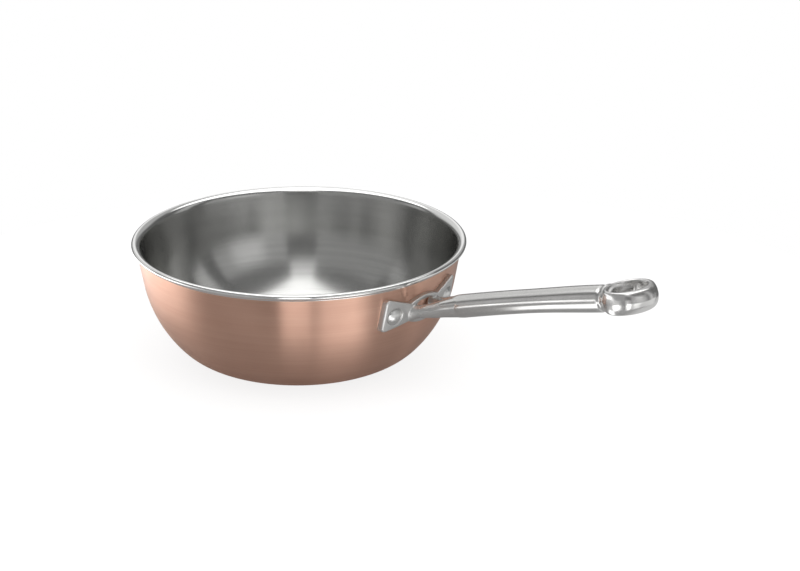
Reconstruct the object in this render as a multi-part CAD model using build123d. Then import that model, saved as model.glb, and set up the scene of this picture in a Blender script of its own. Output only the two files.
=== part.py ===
from build123d import *
import math
import os

# A clad copper saucier pan with a riveted fork handle. The origin is the centre of the flat underside,
# +Z is up and the handle points along +X. Lengths are in millimetres and angles in degrees.

# Bowl: the rim is the widest part, and the wall turns up through two arcs into a straight, steep cone.
rim_diameter = 206.0
pan_height = 75.1
corner_radius = 38.5
corner_turn = 46.5
side_radius = 76.0
wall_slope = 79.5
flare_radius = 4.15
skin_thickness = 0.5
core_thickness = 1.5

# Bracket plate: a bow tie that lies on the wall, with an arch over a window between its wings. Its
# heights are counted from the level of the rivets, which is set down from the rim.
bracket_drop = 20.7
plate_thickness = 3.5
plate_edge_rounding = 0.8
wing_reach = 32.0
wing_rise = 12.0
wing_drop = 10.2
wing_tip_inset = 0.9
wing_corner_radius = 2.4
neck_reach = 12.4
neck_rise = 5.2
neck_drop = 6.6
arch_rise = 8.0
hub_drop = 9.5
window_half_width = 7.4
window_rise = 5.2
window_drop = 4.2
window_corner_radius = 2.8

# Rivets: a pair beside the handle, each with a domed outer head in a shallow recess and a low inner head.
rivet_turn = 14.0
rivet_head_diameter = 9.4
rivet_head_height = 2.5
rivet_shank_diameter = 5.0
rivet_shank_clearance = 0.05
rivet_recess_diameter = 11.3
rivet_recess_depth = 0.6
inner_head_diameter = 10.0
inner_head_height = 1.1
inner_head_rounding = 0.5

# Fork: two prongs that leave the plate square to the wall, draw together and sink into a nose between
# them, which swells into the single bar that the grip continues. Each station of the fork is given in
# shares: how far along, how far apart, how high on its rise, and how wide and high against the grip.
fork_length = 35.0
fork_rise = 8.5
prong_root_turn = 5.8
prong_root_drop = 0.6
prong_spread = 9.8
prong_root_shares = (0.44, 0.63)
prong_shares = (
    (0.2, 0.955, 0.07, 0.385, 0.565),
    (0.328, 0.81, 0.195, 0.42, 0.6),
    (0.442, 0.65, 0.31, 0.49, 0.66),
    (0.586, 0.48, 0.495, 0.56, 0.735),
    (0.758, 0.335, 0.7, 0.65, 0.82),
    (0.9, 0.225, 0.875, 0.71, 0.89),
)
nose_shares = (
    (0.45, 0.31, 0.29, 0.315),
    (0.615, 0.5, 0.59, 0.66),
    (0.815, 0.775, 0.9, 0.95),
)

# Grip: a hollow oval tube along a gentle upward arc that flattens towards the tip.
grip_start_slope = 17.7
grip_end_slope = 14.2
grip_length = 100.7
grip_half_width = 8.0
grip_half_height = 6.95
grip_end_half_width = 8.6
grip_end_half_height = 7.85
grip_wall = 1.5
grip_swell_share = 0.45
grip_station_count = 6
spigot_length = 12.0
spigot_clearance = 0.1

# Hanging eye: a barrel-shaped oval ring with a short grooved neck on the end of the grip.
eye_offset_along = 17.0
eye_offset_up = 11.8
eye_tilt = 9.0
eye_height = 13.2
eye_hole_half_length = 10.2
eye_hole_half_width = 13.2
eye_rim_wall = 2.8
eye_bulge_along = 2.8
eye_bulge_across = 0.9
eye_tip_shift = 1.0
eye_station_count = 5
neck_groove_depth = 0.8
neck_groove_length = 1.6
neck_shoulder_length = 4.2
neck_shoulder_lift = 0.9
neck_shoulder_half_width = 9.6
neck_shoulder_half_height = 7.4
neck_end_length = 8.5
neck_end_lift = 1.8
neck_end_half_width = 11.0
neck_end_half_height = 5.6

cut_overrun = 5.0
plate_facing_share = 0.5
quarter_turn = 90.0

# What follows from the sizes above
wall_thickness = core_thickness + skin_thickness * 2
rim_radius = rim_diameter / 2
edge_radius = (wall_thickness + skin_thickness) / 2
sine, cosine = math.sin(math.radians(wall_slope)), math.cos(math.radians(wall_slope))
turn_sine, turn_cosine = math.sin(math.radians(corner_turn)), math.cos(math.radians(corner_turn))
edge_centre = (rim_radius - edge_radius, pan_height - edge_radius)
flare_centre = (edge_centre[0], pan_height - flare_radius)
flare_inset = flare_radius - wall_thickness
hem_radius = (flare_inset + (edge_radius * 2 - flare_radius) * cosine) / (1 - cosine)
hem_centre = (edge_centre[0], pan_height - edge_radius * 2 - hem_radius)
arcs_height = corner_radius * (1 - turn_cosine) + side_radius * (turn_cosine - cosine)
flare_foot = (flare_centre[0] - flare_inset * sine, flare_centre[1] + flare_inset * cosine)
straight_foot = (flare_foot[0] - (flare_foot[1] - arcs_height) * cosine / sine, arcs_height)
side_centre = (straight_foot[0] - side_radius * sine, straight_foot[1] + side_radius * cosine)
corner_lift = corner_radius - side_radius
corner_centre = (side_centre[0] - corner_lift * turn_sine, side_centre[1] + corner_lift * turn_cosine)
rivet_height = pan_height - bracket_drop
prong_root_height = rivet_height - prong_root_drop


def on_arc(centre, radius, turn):
    # The point of a wall arc where the wall has turned up by an angle from the horizontal
    angle = math.radians(turn)
    return (centre[0] + radius * math.sin(angle), centre[1] - radius * math.cos(angle))


def wall_lines(depth):
    # The wall's surface at a depth under its outer face, from the axis up to the top of the cone
    low = on_arc(corner_centre, corner_radius - depth, 0)
    middle = on_arc(corner_centre, corner_radius - depth, corner_turn)
    high = on_arc(side_centre, side_radius - depth, wall_slope)
    corner_middle = on_arc(corner_centre, corner_radius - depth, corner_turn / 2)
    side_middle = on_arc(side_centre, side_radius - depth, (corner_turn + wall_slope) / 2)
    return [
        Line((0, depth), low),
        ThreePointArc(low, corner_middle, middle),
        ThreePointArc(middle, side_middle, high),
    ]


def rim_arc(centre, radius, start, end):
    # An arc at the rim between two directions, counted anticlockwise from the outward horizontal
    points = []
    for angle in (start, (start + end) / 2, end):
        turn = math.radians(angle)
        points.append((centre[0] + radius * math.cos(turn), centre[1] + radius * math.sin(turn)))
    return ThreePointArc(*points)


def hem_lines(depth):
    # The hem's surface at a depth under it, up from the cone, round the edge and down the flare
    inward = wall_slope + quarter_turn
    return [
        rim_arc(hem_centre, hem_radius + depth, inward, quarter_turn),
        rim_arc(edge_centre, edge_radius - depth, -quarter_turn, quarter_turn),
        rim_arc(flare_centre, flare_radius - depth, quarter_turn, inward),
    ]


def backwards(lines):
    return [Line(line @ 1, line @ 0) if line.geom_type == GeomType.LINE else
            ThreePointArc(line @ 1, line @ 0.5, line @ 0) for line in reversed(lines)]


def spin(chains):
    # A closed outline of chains of lines, with a straight line from each to the next, turned about +Z.
    # The turn starts away from the handle, so that its seam lies under no other piece.
    edges = []
    for chain, following in zip(chains, chains[1:] + chains[:1]):
        edges += chain
        edges.append(Line(chain[-1] @ 1, following[0] @ 0))
    return revolve(Plane((0, 0, 0), (-1, 0, 0), (0, 1, 0)) * make_face(edges), Axis.Z)


def cone_top(depth):
    # Where the copper ends under the hem, at a depth under the outer face
    return rim_arc(hem_centre, hem_radius + depth, wall_slope + quarter_turn, quarter_turn) @ 0


def cone_lines(depth):
    # The wall's surface at a depth, with its cone, up to the foot of the hem
    lines = wall_lines(depth)
    return lines + [Line(lines[-1] @ 1, cone_top(depth))]


def layer(outer_depth, inner_depth):
    # A layer of the wall between two depths, up to the foot of the hem
    return spin([cone_lines(outer_depth), backwards(cone_lines(inner_depth))])


def wall_place(height):
    # The outer face's radius and its slope at a height, on the cone or on the side arc under it
    if height > straight_foot[1]:
        return straight_foot[0] + (height - straight_foot[1]) * cosine / sine, wall_slope
    turn = math.degrees(math.acos((side_centre[1] - height) / side_radius))
    return on_arc(side_centre, side_radius, turn)[0], turn


def wall_plane(height, turn):
    # A plane on the outer face at a height and a turn from the handle, its normal straight out of the wall
    radius, slope = wall_place(height)
    angle = math.radians(turn)
    lean = math.radians(slope)
    across = Vector(-math.sin(angle), math.cos(angle), 0)
    outward = Vector(math.cos(angle) * math.sin(lean), math.sin(angle) * math.sin(lean), -math.cos(lean))
    return Plane((radius * math.cos(angle), radius * math.sin(angle), height), across, outward)


def rivet_plane(side):
    return wall_plane(rivet_height, rivet_turn * side)


def peg(plane, diameter, start, end):
    # A round bar along a plane's normal between two distances from it
    return plane * Pos(0, 0, start) * Cylinder(
        diameter / 2, end - start, align=(Align.CENTER, Align.CENTER, Align.MIN)
    )


def make_liner():
    # The inner skin is steel. It flares out at the rim and its hem wraps round the edge of the core.
    inside = wall_lines(wall_thickness)
    under_it = wall_lines(wall_thickness - skin_thickness)
    return spin([under_it, backwards(hem_lines(skin_thickness)), hem_lines(0), backwards(inside)])


def make_core():
    # The core fills the space between the skins and the hem.
    under_copper = wall_lines(skin_thickness)
    under_liner = wall_lines(wall_thickness - skin_thickness)
    return spin([under_copper, hem_lines(skin_thickness), backwards(under_liner)])


def fork_place(along, apart, up):
    # A place on the fork, in shares of its length from the wall, of its prongs' spread and of its rise
    root = wall_place(prong_root_height)[0]
    return Vector(root + fork_length * along, prong_spread * apart, prong_root_height + fork_rise * up)


def grip_place(distance):
    # The grip's centre line is one arc: its point and slope at a distance from its start
    bend = grip_length / math.radians(grip_start_slope - grip_end_slope)
    start = math.radians(grip_start_slope)
    slope = start - distance / bend
    along = bend * (math.sin(start) - math.sin(slope))
    return fork_place(1, 0, 1) + Vector(along, 0, bend * (math.cos(slope) - math.cos(start))), slope


def grip_plane(distance):
    place, slope = grip_place(distance)
    return Plane(place, (0, 1, 0), (math.cos(slope), 0, math.sin(slope)))


def oval(half_width, half_height):
    # An ellipse whose outline always starts on the same side, whichever way it is longer
    return scale(Circle(half_width), by=(1, half_height / half_width, 1))


def grip_section(distance, inset):
    # The oval section of the grip: even at first, then swelling smoothly towards its end
    share = max(0, distance / grip_length - grip_swell_share) / (1 - grip_swell_share)
    swell = share * share * (3 - share * 2)
    half_width = grip_half_width + (grip_end_half_width - grip_half_width) * swell - inset
    half_height = grip_half_height + (grip_end_half_height - grip_half_height) * swell - inset
    return grip_plane(distance) * oval(half_width, half_height)


def grip_solid(start, end, inset, count):
    steps = [start + (end - start) * step / (count - 1) for step in range(count)]
    return loft([grip_section(distance, inset) for distance in steps])


def make_grip():
    hollow = grip_solid(-cut_overrun, grip_length + cut_overrun, grip_wall, grip_station_count)
    return grip_solid(0, grip_length, 0, grip_station_count) - hollow


def bar_section(place, onward, wide, high):
    # An oval of the cast bar, upright across the way that it runs, in shares of the grip's section
    across = Vector(-onward.Y, onward.X, 0)
    return Plane(place, across, onward) * oval(grip_half_width * wide, grip_half_height * high)


def make_prong(side):
    # One leg of the fork, from half way through the plate to where it has sunk into the nose
    root = wall_plane(prong_root_height, prong_root_turn * side).offset(plate_thickness / 2)
    places = [root.origin]
    places += [fork_place(along, apart * side, up) for along, apart, up, *_ in prong_shares]
    places.append(fork_place(1, 0, 1))
    sections = [bar_section(root.origin, root.z_dir, *prong_root_shares)]
    for before, place, after, shares in zip(places, places[1:], places[2:], prong_shares):
        sections.append(bar_section(place, (after - before).normalized(), shares[3], shares[4]))
    return loft(sections)


def make_nose():
    # The bar between the prongs, from a blunt point at the crotch to the full section of the grip
    onward = grip_plane(0).z_dir
    sections = [
        bar_section(fork_place(along, 0, up), onward, wide, high)
        for along, up, wide, high in nose_shares
    ]
    return loft(sections + [grip_section(0, 0)])


def plate_outline():
    # The bow tie, seen along the handle: an arch and a hub between two wings with rounded corners
    tip = wing_reach - wing_tip_inset
    arch, hub = (0, rivet_height + arch_rise), (0, rivet_height - hub_drop)
    necks_top, necks_bottom = rivet_height + neck_rise, rivet_height - neck_drop
    wings_top, wings_bottom = rivet_height + wing_rise, rivet_height - wing_drop
    outline = make_face([
        ThreePointArc((-neck_reach, necks_top), arch, (neck_reach, necks_top)),
        Line((neck_reach, necks_top), (tip, wings_top)),
        Line((tip, wings_top), (wing_reach, wings_bottom)),
        Line((wing_reach, wings_bottom), (neck_reach, necks_bottom)),
        ThreePointArc((neck_reach, necks_bottom), hub, (-neck_reach, necks_bottom)),
        Line((-neck_reach, necks_bottom), (-wing_reach, wings_bottom)),
        Line((-wing_reach, wings_bottom), (-tip, wings_top)),
        Line((-tip, wings_top), (-neck_reach, necks_top)),
    ])
    middle = (neck_reach + wing_reach) / 2
    tips = [corner for corner in outline.vertices() if abs(corner.X) > middle]
    return fillet(tips, wing_corner_radius)


def make_plate():
    # The plate is a layer outside the wall, trimmed to the bow tie, with a window and rounded rims
    start = Plane.YZ.offset(wall_place(rivet_height)[0] + plate_thickness * 2)
    depth = plate_thickness * 2 + wing_reach / 2
    trim = extrude(start * plate_outline(), -depth)
    window_centre = rivet_height + (window_rise - window_drop) / 2
    window_size = window_half_width * 2, window_rise + window_drop
    window = start * Pos(0, window_centre) * RectangleRounded(*window_size, window_corner_radius)
    plate = (layer(-plate_thickness, 0) & trim) - extrude(window, -depth)
    outer = [face for face in plate.faces() if face.normal_at().X > plate_facing_share]
    borders = [edge for face in outer for edge in face.edges()]
    rims = [edge for edge in borders if sum(edge.is_same(other) for other in borders) == 1]
    return fillet(rims, plate_edge_rounding)


def make_bracket():
    bracket = make_plate() + make_prong(-1) + make_prong(1) + make_nose()
    bracket = bracket + grip_solid(-grip_wall, spigot_length, grip_wall + spigot_clearance, 2)
    for side in (-1, 1):
        plane = rivet_plane(side)
        seat = plate_thickness - rivet_recess_depth
        bracket = bracket - peg(plane, rivet_recess_diameter, seat, plate_thickness + cut_overrun)
        bracket = bracket - rivet_hole(plane)
    return bracket


def rivet_hole(plane):
    diameter = rivet_shank_diameter + rivet_shank_clearance * 2
    return peg(plane, diameter, -wall_thickness - cut_overrun, plate_thickness + cut_overrun)


def make_rivet(side):
    # A domed head on the recess's floor, a shank through plate and wall, and a low head inside the bowl
    plane = rivet_plane(side)
    seat = plate_thickness - rivet_recess_depth
    dome_radius = rivet_head_diameter / 2
    ball = (dome_radius ** 2 + rivet_head_height ** 2) / rivet_head_height / 2
    sphere = plane * Pos(0, 0, seat + rivet_head_height - ball) * Sphere(ball)
    dome = sphere & peg(plane, rivet_head_diameter, seat, seat + rivet_head_height)
    crown = -wall_thickness - inner_head_height
    head = peg(plane, inner_head_diameter, crown, -wall_thickness + skin_thickness)
    head = fillet(head.edges().sort_by(Axis(plane.origin, plane.z_dir))[0], inner_head_rounding)
    head = head - layer(0, wall_thickness)
    shank = peg(plane, rivet_shank_diameter, crown + inner_head_height / 2, seat)
    return dome + shank + head


def eye_plane():
    place, _ = grip_place(grip_length)
    tilt = math.radians(eye_tilt)
    centre = place + Vector(eye_offset_along, 0, eye_offset_up)
    return Plane(centre, (math.cos(tilt), 0, math.sin(tilt)), (-math.sin(tilt), 0, math.cos(tilt)))


def eye_section(share):
    # The eye's outer oval at a share of its height below the rim: a barrel, fullest half way down
    plane = eye_plane().offset(-eye_height * share)
    fullness = 4 * share * (1 - share)
    half_length = eye_hole_half_length + eye_rim_wall + eye_bulge_along * fullness
    half_width = eye_hole_half_width + eye_rim_wall + eye_bulge_across * fullness
    return plane * Pos(eye_tip_shift, 0) * oval(half_length, half_width)


def neck_section(length, lift, half_width, half_height):
    plane = grip_plane(grip_length)
    place = plane.origin + plane.z_dir * length + Vector(0, 0, lift)
    return Plane(place, plane.x_dir, plane.z_dir) * oval(half_width, half_height)


def make_eye():
    shares = [step / (eye_station_count - 1) for step in range(eye_station_count)]
    barrel = loft([eye_section(share) for share in shares])
    neck = loft([
        grip_section(grip_length, 0),
        neck_section(neck_groove_length, 0, grip_end_half_width - neck_groove_depth,
                     grip_end_half_height - neck_groove_depth),
        neck_section(neck_shoulder_length, neck_shoulder_lift,
                     neck_shoulder_half_width, neck_shoulder_half_height),
        neck_section(neck_end_length, neck_end_lift, neck_end_half_width, neck_end_half_height),
    ])
    hole_top = eye_plane().offset(cut_overrun) * oval(eye_hole_half_length, eye_hole_half_width)
    hole = extrude(hole_top, -eye_height - cut_overrun * 2)
    plug = grip_solid(grip_length - spigot_length, grip_length + neck_groove_length,
                      grip_wall + spigot_clearance, 3)
    return barrel + neck - hole + plug


def main():
    os.makedirs("parts", exist_ok=True)
    holes = [rivet_hole(rivet_plane(side)) for side in (-1, 1)]
    pieces = {
        "copper_shell": layer(0, skin_thickness) - holes,
        "aluminium_core": make_core() - holes,
        "steel_liner": make_liner() - holes,
        "handle_bracket": make_bracket(),
        "handle_grip": make_grip(),
        "hanging_ring": make_eye(),
        "rivet_right": make_rivet(-1),
        "rivet_left": make_rivet(1),
    }
    for name, piece in pieces.items():
        print(name, len(piece.solids()), round(piece.volume))
        export_step(piece, "parts/" + name + ".step")


main()
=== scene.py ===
import math
import bpy
import numpy as np
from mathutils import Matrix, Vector


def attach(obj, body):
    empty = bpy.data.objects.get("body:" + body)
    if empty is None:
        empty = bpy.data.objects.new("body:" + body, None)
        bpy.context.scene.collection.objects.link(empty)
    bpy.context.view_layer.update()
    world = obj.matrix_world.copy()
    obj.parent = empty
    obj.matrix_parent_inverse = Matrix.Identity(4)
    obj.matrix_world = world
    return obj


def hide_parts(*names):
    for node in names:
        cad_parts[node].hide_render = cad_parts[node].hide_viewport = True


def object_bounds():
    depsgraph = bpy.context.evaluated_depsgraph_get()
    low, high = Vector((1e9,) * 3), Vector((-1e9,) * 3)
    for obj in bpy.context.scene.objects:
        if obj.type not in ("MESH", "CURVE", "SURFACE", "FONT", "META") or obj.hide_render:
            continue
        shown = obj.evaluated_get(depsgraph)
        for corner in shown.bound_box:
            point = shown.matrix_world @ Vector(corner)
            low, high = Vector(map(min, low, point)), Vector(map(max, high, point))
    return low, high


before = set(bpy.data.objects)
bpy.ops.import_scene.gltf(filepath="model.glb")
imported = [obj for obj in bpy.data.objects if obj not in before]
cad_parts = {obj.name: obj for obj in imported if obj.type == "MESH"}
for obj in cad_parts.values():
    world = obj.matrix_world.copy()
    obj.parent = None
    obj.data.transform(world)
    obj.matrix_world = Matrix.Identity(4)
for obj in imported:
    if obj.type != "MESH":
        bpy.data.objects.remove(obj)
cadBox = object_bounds()
print("frame loaded:", len(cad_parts), "pieces")

millimetre = 0.001  # the shapes are worked out in millimetres, and the meshes are in metres


class Facts:
    # Named values, read as facts.name.
    def __init__(self, **values):
        for name, value in values.items():
            setattr(self, name, value)


# Mesh helpers

def gridFaces(rows, columns, wrapRows, wrapColumns):
    # Quads between neighbouring rows and columns of a grid; a wrapped way joins its end to its start.
    row = np.arange(rows if wrapRows else rows - 1)[:, None]
    column = np.arange(columns if wrapColumns else columns - 1)[None, :]
    nextRow, nextColumn = (row + 1) % rows, (column + 1) % columns
    quads = np.stack([row * columns + column, row * columns + nextColumn,
                      nextRow * columns + nextColumn, nextRow * columns + column], -1)
    return quads.reshape(-1, 4)


def torusShell(points):
    # A grid that is closed both ways, such as a section loop carried round a ring.
    rows, columns = points.shape[:2]
    return points.reshape(-1, 3), gridFaces(rows, columns, True, True).tolist()


def poleShell(points, firstPole, lastPole):
    # A grid of closed rings, shut at its first and last ring by a fan of triangles to one point.
    rows, columns = points.shape[:2]
    flat = np.vstack([points.reshape(-1, 3), firstPole, lastPole])
    here, following = np.arange(columns), (np.arange(columns) + 1) % columns
    first, last = np.full(columns, rows * columns), np.full(columns, rows * columns + 1)
    lastRow = (rows - 1) * columns
    fans = np.stack([first, following, here], 1).tolist()
    fans += np.stack([lastRow + here, lastRow + following, last], 1).tolist()
    return flat, gridFaces(rows, columns, False, True).tolist() + fans


def outward(points, faces):
    # The signed volume is the sum of the faces' corner products: where it is negative, the faces are
    # turned round.
    quads = np.array([face if len(face) == 4 else face + face[-1:] for face in faces])
    a, b, c, d = (points[quads[:, i]] for i in range(4))
    volume = np.einsum("ij,ij->", a, np.cross(b, c)) + np.einsum("ij,ij->", a, np.cross(c, d))
    return faces if volume > 0 else [face[::-1] for face in faces]


def newPiece(name, shells, sharpAngle=None):
    # One mesh object from closed shells, each a pair of points in millimetres and faces.
    vertices, faces, start = [], [], 0
    for points, shellFaces in shells:
        faces += [[corner + start for corner in face] for face in outward(points, shellFaces)]
        vertices.append(points * millimetre)
        start += len(points)
    mesh = bpy.data.meshes.new(name)
    mesh.from_pydata(np.vstack(vertices).tolist(), [], faces)
    mesh.update()
    mesh.shade_smooth()
    if sharpAngle:
        mesh.set_sharp_from_angle(angle=math.radians(sharpAngle))
    piece = bpy.data.objects.new(name, mesh)
    bpy.context.scene.collection.objects.link(piece)
    return piece


def castTogether(piece, voxel, softening):
    # Overlapping shells become one skin in a voxel remesh, and smoothing rounds their inner corners
    # as in a casting. The result is the piece's own mesh, with no modifier left on it.
    skin = piece.modifiers.new("skin", "REMESH")
    skin.mode = "VOXEL"
    skin.voxel_size = voxel * millimetre
    soften = piece.modifiers.new("soften", "SMOOTH")
    soften.factor = 0.5
    soften.iterations = softening
    evaluated = piece.evaluated_get(bpy.context.evaluated_depsgraph_get())
    mesh = bpy.data.meshes.new_from_object(evaluated)
    piece.modifiers.clear()
    piece.data = mesh
    mesh.name = piece.name
    mesh.shade_smooth()


def readRows(items, name, width, kind=np.float32):
    # What every vertex or edge of a mesh holds under a name, one row each.
    values = np.empty(len(items) * width, kind)
    items.foreach_get(name, values)
    return values.reshape(-1, width)


def readPoints(piece):
    # The mesh's points in millimetres.
    return readRows(piece.data.vertices, "co", 3).astype(float) / millimetre


def writePoints(piece, points):
    # Puts moved points, in millimetres, back into the mesh.
    piece.data.vertices.foreach_set("co", (points * millimetre).astype(np.float32).ravel())
    piece.data.update()


def writeMask(piece, name, values):
    # One number from 0 to 1 at each point, kept as an attribute for the materials.
    layer = piece.data.attributes.new(name, "FLOAT", "POINT")
    layer.data.foreach_set("value", np.clip(values, 0.0, 1.0).astype(np.float32))


def edgeMask(piece, reach):
    # How far a point stands out of the mean of its neighbours along its normal, spread over a few
    # steps: above one half on a worn outer edge, below it in a corner. Reach is the stand, in
    # millimetres, that counts as full.
    points = readPoints(piece)
    normals = readRows(piece.data.vertex_normals, "vector", 3)
    ends = readRows(piece.data.edges, "vertices", 2, np.int32)
    both = np.concatenate([ends, ends[:, ::-1]])
    count = np.bincount(both[:, 0], minlength=len(points)).clip(1)
    around = np.stack([np.bincount(both[:, 0], column[both[:, 1]], len(points)) for column in points.T], 1)
    stand = np.einsum("ij,ij->i", points - around / count[:, None], normals)
    for step in range(4):
        stand = (stand + np.bincount(both[:, 0], stand[both[:, 1]], len(points)) / count) / 2
    return 0.5 + 0.5 * stand / reach


def arc(centre, radius, start, end, count):
    # Points on a circle between two directions in degrees.
    turn = np.radians(np.linspace(start, end, count))
    return np.stack([centre[0] + radius * np.cos(turn), centre[1] + radius * np.sin(turn)], 1)


def fullTurn(count):
    # Evenly spaced directions once round, in radians.
    return np.linspace(0, 2 * np.pi, count, endpoint=False)


def spin(profile, columns):
    # A profile of radius and height, from the axis back to the axis, turned about the upright axis.
    turn = fullTurn(columns) + np.pi
    radius, height = profile[1:-1, 0, None], profile[1:-1, 1, None]
    grid = np.stack([radius * np.cos(turn), radius * np.sin(turn), height + 0 * turn], -1)
    return poleShell(grid, [0, 0, profile[0, 1]], [0, 0, profile[-1, 1]])


def sweepOval(places, acrosses, uppers, halfWidths, halfHeights, columns=64):
    # Each station is an oval: place + across * half width * cos(t) + upper * half height * sin(t).
    turn = fullTurn(columns)
    wide = (halfWidths[:, None] * np.cos(turn))[..., None]
    high = (halfHeights[:, None] * np.sin(turn))[..., None]
    grid = places[:, None] + acrosses[:, None] * wide + uppers[:, None] * high
    return poleShell(grid, places[0], places[-1])


def splineThrough(knots, values, samples):
    # A natural cubic spline: the second derivatives at the knots solve one linear system, and each
    # sample mixes the two knots beside it and their second derivatives.
    knots, values = np.asarray(knots, float), np.asarray(values, float)
    gap, size = np.diff(knots), len(knots)
    matrix, right = np.eye(size), np.zeros_like(values)
    inner = np.arange(1, size - 1)
    matrix[inner, inner - 1] = gap[:-1]
    matrix[inner, inner] = 2 * (gap[:-1] + gap[1:])
    matrix[inner, inner + 1] = gap[1:]
    right[1:-1] = 6 * np.diff(np.diff(values, axis=0) / gap[:, None], axis=0)
    bends = np.linalg.solve(matrix, right)
    index = np.clip(np.searchsorted(knots, samples) - 1, 0, size - 2)
    width = gap[index][:, None]
    b = ((samples - knots[index]) / gap[index])[:, None]
    a = 1 - b
    bent = ((a ** 3 - a) * bends[index] + (b ** 3 - b) * bends[index + 1]) * width ** 2 / 6
    return a * values[index] + b * values[index + 1] + bent


def unit(vectors):
    # Each vector divided by its length.
    return vectors / np.linalg.norm(vectors, axis=-1, keepdims=True)


# Bowl: two skins turned from one profile

bowl = Facts(
    rimRadius=103.0, height=75.1, cornerRadius=38.5, cornerTurn=46.5,
    sideRadius=76.0, wallSlope=79.5, flareRadius=4.15, wall=2.5, skin=0.5, columns=400,
    lipStart=0.1, lipFade=0.8, lipBelow=1.5, sharpAngle=40,
)
slope = math.radians(bowl.wallSlope)
sine, cosine = math.sin(slope), math.cos(slope)
edgeRadius = (bowl.wall + bowl.skin) / 2
edgeCentre = (bowl.rimRadius - edgeRadius, bowl.height - edgeRadius)
flareCentre = (edgeCentre[0], bowl.height - bowl.flareRadius)
flareInset = bowl.flareRadius - bowl.wall
hemRadius = (flareInset + (edgeRadius * 2 - bowl.flareRadius) * cosine) / (1 - cosine)
hemCentre = (edgeCentre[0], bowl.height - edgeRadius * 2 - hemRadius)
cornerTurn = math.radians(bowl.cornerTurn)
arcsHeight = (bowl.cornerRadius * (1 - math.cos(cornerTurn))
              + bowl.sideRadius * (math.cos(cornerTurn) - cosine))
flareFoot = (flareCentre[0] - flareInset * sine, flareCentre[1] + flareInset * cosine)
straightFoot = (flareFoot[0] - (flareFoot[1] - arcsHeight) * cosine / sine, arcsHeight)
sideCentre = (straightFoot[0] - bowl.sideRadius * sine, straightFoot[1] + bowl.sideRadius * cosine)
cornerLift = bowl.cornerRadius - bowl.sideRadius
cornerCentre = (sideCentre[0] - cornerLift * math.sin(cornerTurn),
                sideCentre[1] + cornerLift * math.cos(cornerTurn))


def wallProfile(depth, top=None):
    # The wall at a depth under its outer face: flat, corner arc, side arc, then a straight run to its top.
    flat = np.stack([np.linspace(0, cornerCentre[0], 9)[:-1], np.full(8, float(depth))], 1)
    corner = arc(cornerCentre, bowl.cornerRadius - depth, -90, bowl.cornerTurn - 90, 26)
    side = arc(sideCentre, bowl.sideRadius - depth, bowl.cornerTurn - 90, bowl.wallSlope - 90, 30)
    rows = [flat, corner, side[1:]]
    if top is not None:
        share = np.linspace(0, 1, 15)[1:, None]
        rows.append(side[-1] * (1 - share) + np.asarray(top) * share)
    return np.vstack(rows)


def hemProfile(depth):
    # The hem at a depth: up from the cone, round the rim's edge, and back down the flare.
    inward = bowl.wallSlope + 90
    return np.vstack([
        arc(hemCentre, hemRadius + depth, inward, 90, 10)[:-1],
        arc(edgeCentre, edgeRadius - depth, -90, 90, 20)[:-1],
        arc(flareCentre, bowl.flareRadius - depth, 90, inward, 14),
    ])


def wallRadius(height, depth):
    # The wall's radius at a height, at a distance out of its outer face: on the cone, or on the side
    # arc under it.
    cone = straightFoot[0] + (height - straightFoot[1]) * cosine / sine + depth / sine
    spread = np.maximum((bowl.sideRadius + depth) ** 2 - (height - sideCentre[1]) ** 2, 0)
    onArc = height < sideCentre[1] - (bowl.sideRadius + depth) * cosine
    return np.where(onArc, sideCentre[0] + np.sqrt(spread), cone)


def makeBowl():
    # Copper runs up to the hem and back inside itself; the lining goes round the hem and back. Lip is
    # how far a point near the rim stands inside or outside of the plain wall.
    coneTop = arc(hemCentre, hemRadius, bowl.wallSlope + 90, 90, 2)[0]
    coneTopInside = arc(hemCentre, hemRadius + bowl.skin, bowl.wallSlope + 90, 90, 2)[0]
    copper = np.vstack([wallProfile(0, coneTop), wallProfile(bowl.skin, coneTopInside)[::-1]])
    copperSkin = newPiece("copperSkin", [spin(copper, bowl.columns)], bowl.sharpAngle)
    under = wallProfile(bowl.wall - bowl.skin, hemProfile(bowl.skin)[-1])
    inside = wallProfile(bowl.wall, hemProfile(0)[-1])
    lining = np.vstack([under[:-1], hemProfile(bowl.skin)[::-1], hemProfile(0), inside[::-1][1:]])
    steelLining = newPiece("steelLining", [spin(lining, bowl.columns)], bowl.sharpAngle)
    for piece in (copperSkin, steelLining):
        points = readPoints(piece)
        radius = np.hypot(points[:, 0], points[:, 1])
        outside = radius - wallRadius(points[:, 2], -bowl.wall)
        lip = np.clip((outside - bowl.lipStart) / bowl.lipFade, 0, 1)
        writeMask(piece, "lip", np.where(points[:, 2] > flareFoot[1] - bowl.lipBelow, lip, 0))
    return copperSkin, steelLining


copperSkin, steelLining = makeBowl()
print("bowl made")


# Handle: a forked casting, a swept grip and a hanging eye

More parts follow.
